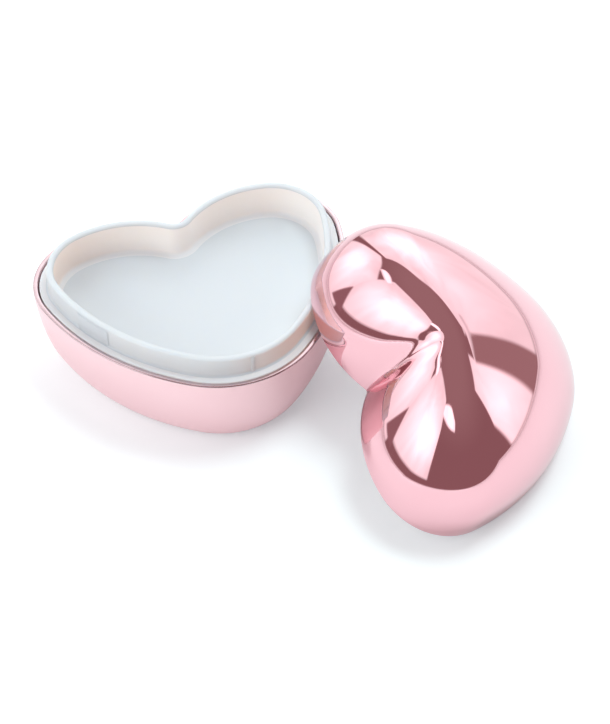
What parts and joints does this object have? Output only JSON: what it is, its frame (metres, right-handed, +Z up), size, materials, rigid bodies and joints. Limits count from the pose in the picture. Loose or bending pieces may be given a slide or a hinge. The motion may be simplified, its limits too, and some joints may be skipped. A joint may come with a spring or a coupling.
{
  "type": "wind up music box",
  "caption": "Heart-shaped wind-up music box: pink base with white inner tray, loose domed lid leaning beside it, key-wound comb movement inside.",
  "frame": {"origin": "middle of the base's rest face, on the floor, midway along and across the heart's rim", "axes": "+Z up out of the tray, +Y towards the heart's cleft, +X to the right seen from the tip"},
  "size_m": [0.1776, 0.1689, 0.0702],
  "materials": {
    "pink_metallised": "vacuum metallised, rose pink, mirror gloss",
    "white_plastic": "slightly translucent white moulding, soft gloss",
    "cover_plastic": "plain pale pink moulding",
    "zinc": "zinc die casting",
    "comb_steel": "ground spring steel",
    "lead": "dull tuning leads",
    "brass_key": "stamped brass",
    "brass": "turned brass",
    "arbor_steel": "turned steel",
    "spring_steel": "blued spring steel",
    "fly_plastic": "natural nylon",
    "screw_steel": "zinc plated"
  },
  "bodies": {
    "base": {"base_shell": "pink_metallised", "tray": "white_plastic", "bottom_cover": "cover_plastic", "cover_screw_1": "screw_steel", "cover_screw_2": "screw_steel", "cover_screw_3": "screw_steel", "cover_screw_4": "screw_steel", "bedplate": "zinc", "bed_screw_1": "screw_steel", "bed_screw_2": "screw_steel", "bed_screw_3": "screw_steel", "comb": "comb_steel", "comb_leads": "lead", "comb_screw_1": "screw_steel", "comb_screw_2": "screw_steel", "governor_frame": "brass", "governor_screw": "screw_steel"},
    "lid": {"lid_shell": "pink_metallised", "lid_seat_ring": "white_plastic"},
    "key": {"winding_key": "brass_key", "winding_arbor": "arbor_steel"},
    "barrel": {"spring_barrel": "brass", "barrel_cap": "brass", "mainspring": "spring_steel"},
    "cylinder": {"pinned_cylinder": "brass", "cylinder_arbor": "arbor_steel", "drive_gear": "brass", "governor_gear": "brass"},
    "governor": {"governor_pinion": "arbor_steel", "worm_wheel": "brass"},
    "fly": {"governor_worm": "arbor_steel", "air_brake": "fly_plastic"}
  },
  "joints": [
    {"name": "lid_lift", "type": "slide", "parent": "base", "child": "lid", "axis": [0.2349, -0.359, 0.9033], "range_m": [0, 0.12]},
    {"name": "key_turn", "type": "hinge", "parent": "base", "child": "key", "pos_m": [-0.0145, 0.003, 0.006], "axis": [0, 0, 1], "range_deg": [0, 1080]},
    {"name": "barrel_turn", "type": "hinge", "parent": "base", "child": "barrel", "pos_m": [-0.0145, 0.003, 0.012], "axis": [0, 0, 1], "continuous": true},
    {"name": "cylinder_turn", "type": "hinge", "parent": "base", "child": "cylinder", "pos_m": [-0.00325, 0.003, 0.01898], "axis": [1, 0, 0], "continuous": true},
    {"name": "governor_turn", "type": "hinge", "parent": "base", "child": "governor", "pos_m": [0.02236, 0.0105, 0.01898], "axis": [1, 0, 0], "continuous": true},
    {"name": "fly_turn", "type": "hinge", "parent": "base", "child": "fly", "pos_m": [0.02291, 0.0157, 0.01898], "axis": [0, 0, 1], "continuous": true}
  ],
  "couplings": [
    {"joint": "cylinder_turn", "follows": "barrel_turn", "ratio": 2},
    {"joint": "governor_turn", "follows": "barrel_turn", "ratio": -8},
    {"joint": "fly_turn", "follows": "barrel_turn", "ratio": 192}
  ]
}
